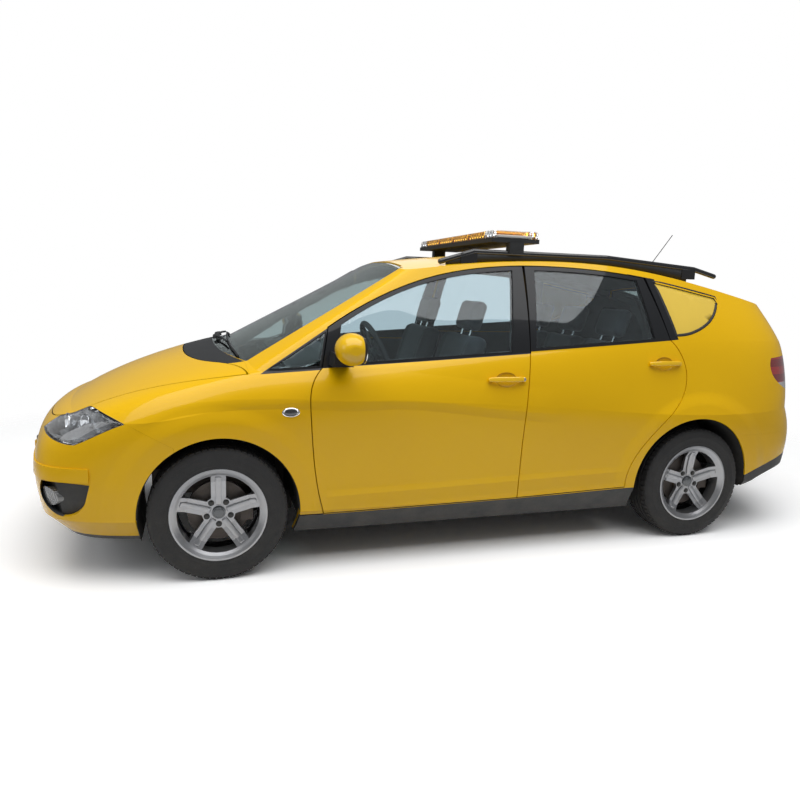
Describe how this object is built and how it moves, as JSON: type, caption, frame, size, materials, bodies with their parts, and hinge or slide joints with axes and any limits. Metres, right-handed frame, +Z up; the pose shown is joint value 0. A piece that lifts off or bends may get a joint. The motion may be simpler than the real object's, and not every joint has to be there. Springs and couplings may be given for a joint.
{
  "type": "taxi cab",
  "caption": "Compact estate taxi with hinged doors, bonnet and tailgate, steered front wheels, roof rails and an amber roof light bar.",
  "frame": {"origin": "on the ground, below the middle of the overall length and width", "axes": "+X forward, +Y to the car's left, +Z up"},
  "size_m": [4.467, 2.168, 1.7485],
  "materials": {
    "yellow_paint": "gloss",
    "black_plastic": "satin",
    "gloss_black": "gloss",
    "window_glass": "clear, lightly tinted",
    "lamp_clear": "clear",
    "lamp_red": "red lens",
    "lamp_amber": "amber lens",
    "alloy": "silver lacquer",
    "tyre_rubber": "matte",
    "steel": "satin",
    "iron": "rough",
    "body_steel": "satin",
    "seat_cloth": "woven",
    "cabin_plastic": "grained"
  },
  "bodies": {
    "body": {"antenna": "black_plastic", "body_sides": "yellow_paint", "cowl_panel": "black_plastic", "dashboard": "cabin_plastic", "engine_block": "iron", "exhaust": "steel", "fixed_side_glass": "window_glass", "floor_pan": "body_steel", "fog_lamps": "lamp_clear", "front_bumper": "yellow_paint", "front_fenders": "yellow_paint", "front_frame": "body_steel", "front_grilles": "black_plastic", "front_seats": "seat_cloth", "front_subframe": "body_steel", "front_wheel_liners": "black_plastic", "fuel_tank": "black_plastic", "headlamps": "lamp_clear", "light_bar_base": "black_plastic", "light_bar_ends": "lamp_clear", "light_bar_lens": "lamp_amber", "rear_axle": "iron", "rear_bumper": "yellow_paint", "rear_seats": "seat_cloth", "rear_trim": "black_plastic", "roof_panel": "yellow_paint", "roof_rails": "gloss_black", "sill_trims": "black_plastic", "tail_lamps": "lamp_red", "windscreen": "window_glass"},
    "front_door_left": {"front_door_left": "yellow_paint", "front_door_glass_left": "window_glass", "mirror_left": "yellow_paint"},
    "front_door_right": {"front_door_right": "yellow_paint", "front_door_glass_right": "window_glass", "mirror_right": "yellow_paint"},
    "rear_door_left": {"rear_door_left": "yellow_paint", "rear_door_glass_left": "window_glass"},
    "rear_door_right": {"rear_door_right": "yellow_paint", "rear_door_glass_right": "window_glass"},
    "bonnet": {"bonnet": "yellow_paint"},
    "tailgate": {"tailgate": "yellow_paint", "rear_glass": "window_glass"},
    "front_left_knuckle": {"front_left_knuckle": "iron"},
    "front_right_knuckle": {"front_right_knuckle": "iron"},
    "front_left_wheel": {"front_left_rim": "alloy", "front_left_tyre": "tyre_rubber"},
    "front_right_wheel": {"front_right_rim": "alloy", "front_right_tyre": "tyre_rubber"},
    "rear_left_wheel": {"rear_left_rim": "alloy", "rear_left_tyre": "tyre_rubber"},
    "rear_right_wheel": {"rear_right_rim": "alloy", "rear_right_tyre": "tyre_rubber"},
    "steering_wheel": {"steering_wheel": "cabin_plastic"}
  },
  "joints": [
    {"name": "front_door_left_hinge", "type": "hinge", "parent": "body", "child": "front_door_left", "pos_m": [0.964, 0.886, 0.6], "axis": [0, 0, -1], "range_deg": [0, 66]},
    {"name": "rear_door_left_hinge", "type": "hinge", "parent": "body", "child": "rear_door_left", "pos_m": [-0.1135, 0.888, 0.6], "axis": [0, 0, -1], "range_deg": [0, 66]},
    {"name": "steer_left", "type": "hinge", "parent": "body", "child": "front_left_knuckle", "pos_m": [1.3705, 0.7385, 0.19], "axis": [0, -0.2266, 0.974], "range_deg": [-34, 34]},
    {"name": "front_left_wheel_spin", "type": "hinge", "parent": "front_left_knuckle", "child": "front_left_wheel", "pos_m": [1.3705, 0.7705, 0.314], "axis": [0, 1, 0], "continuous": true},
    {"name": "rear_left_wheel_spin", "type": "hinge", "parent": "body", "child": "rear_left_wheel", "pos_m": [-1.2075, 0.7585, 0.314], "axis": [0, 1, 0], "continuous": true},
    {"name": "front_door_right_hinge", "type": "hinge", "parent": "body", "child": "front_door_right", "pos_m": [0.964, -0.886, 0.6], "axis": [0, 0, 1], "range_deg": [0, 66]},
    {"name": "rear_door_right_hinge", "type": "hinge", "parent": "body", "child": "rear_door_right", "pos_m": [-0.1135, -0.888, 0.6], "axis": [0, 0, 1], "range_deg": [0, 66]},
    {"name": "steer_right", "type": "hinge", "parent": "body", "child": "front_right_knuckle", "pos_m": [1.3705, -0.7385, 0.19], "axis": [0, 0.2266, 0.974], "range_deg": [-34, 34]},
    {"name": "front_right_wheel_spin", "type": "hinge", "parent": "front_right_knuckle", "child": "front_right_wheel", "pos_m": [1.3705, -0.7705, 0.314], "axis": [0, 1, 0], "continuous": true},
    {"name": "rear_right_wheel_spin", "type": "hinge", "parent": "body", "child": "rear_right_wheel", "pos_m": [-1.2075, -0.7585, 0.314], "axis": [0, 1, 0], "continuous": true},
    {"name": "bonnet_hinge", "type": "hinge", "parent": "body", "child": "bonnet", "pos_m": [1.225, 0, 0.99], "axis": [0, -1, 0], "range_deg": [0, 50]},
    {"name": "tailgate_hinge", "type": "hinge", "parent": "body", "child": "tailgate", "pos_m": [-1.475, 0, 1.512], "axis": [0, 1, 0], "range_deg": [0, 82]},
    {"name": "steering_wheel_turn", "type": "hinge", "parent": "body", "child": "steering_wheel", "pos_m": [0.52, 0.37, 0.985], "axis": [-0.9135, 0, 0.4067], "range_deg": [-510, 510]}
  ],
  "couplings": [
    {"joint": "steer_right", "follows": "steer_left", "ratio": 1},
    {"joint": "steering_wheel_turn", "follows": "steer_left", "ratio": 15}
  ]
}
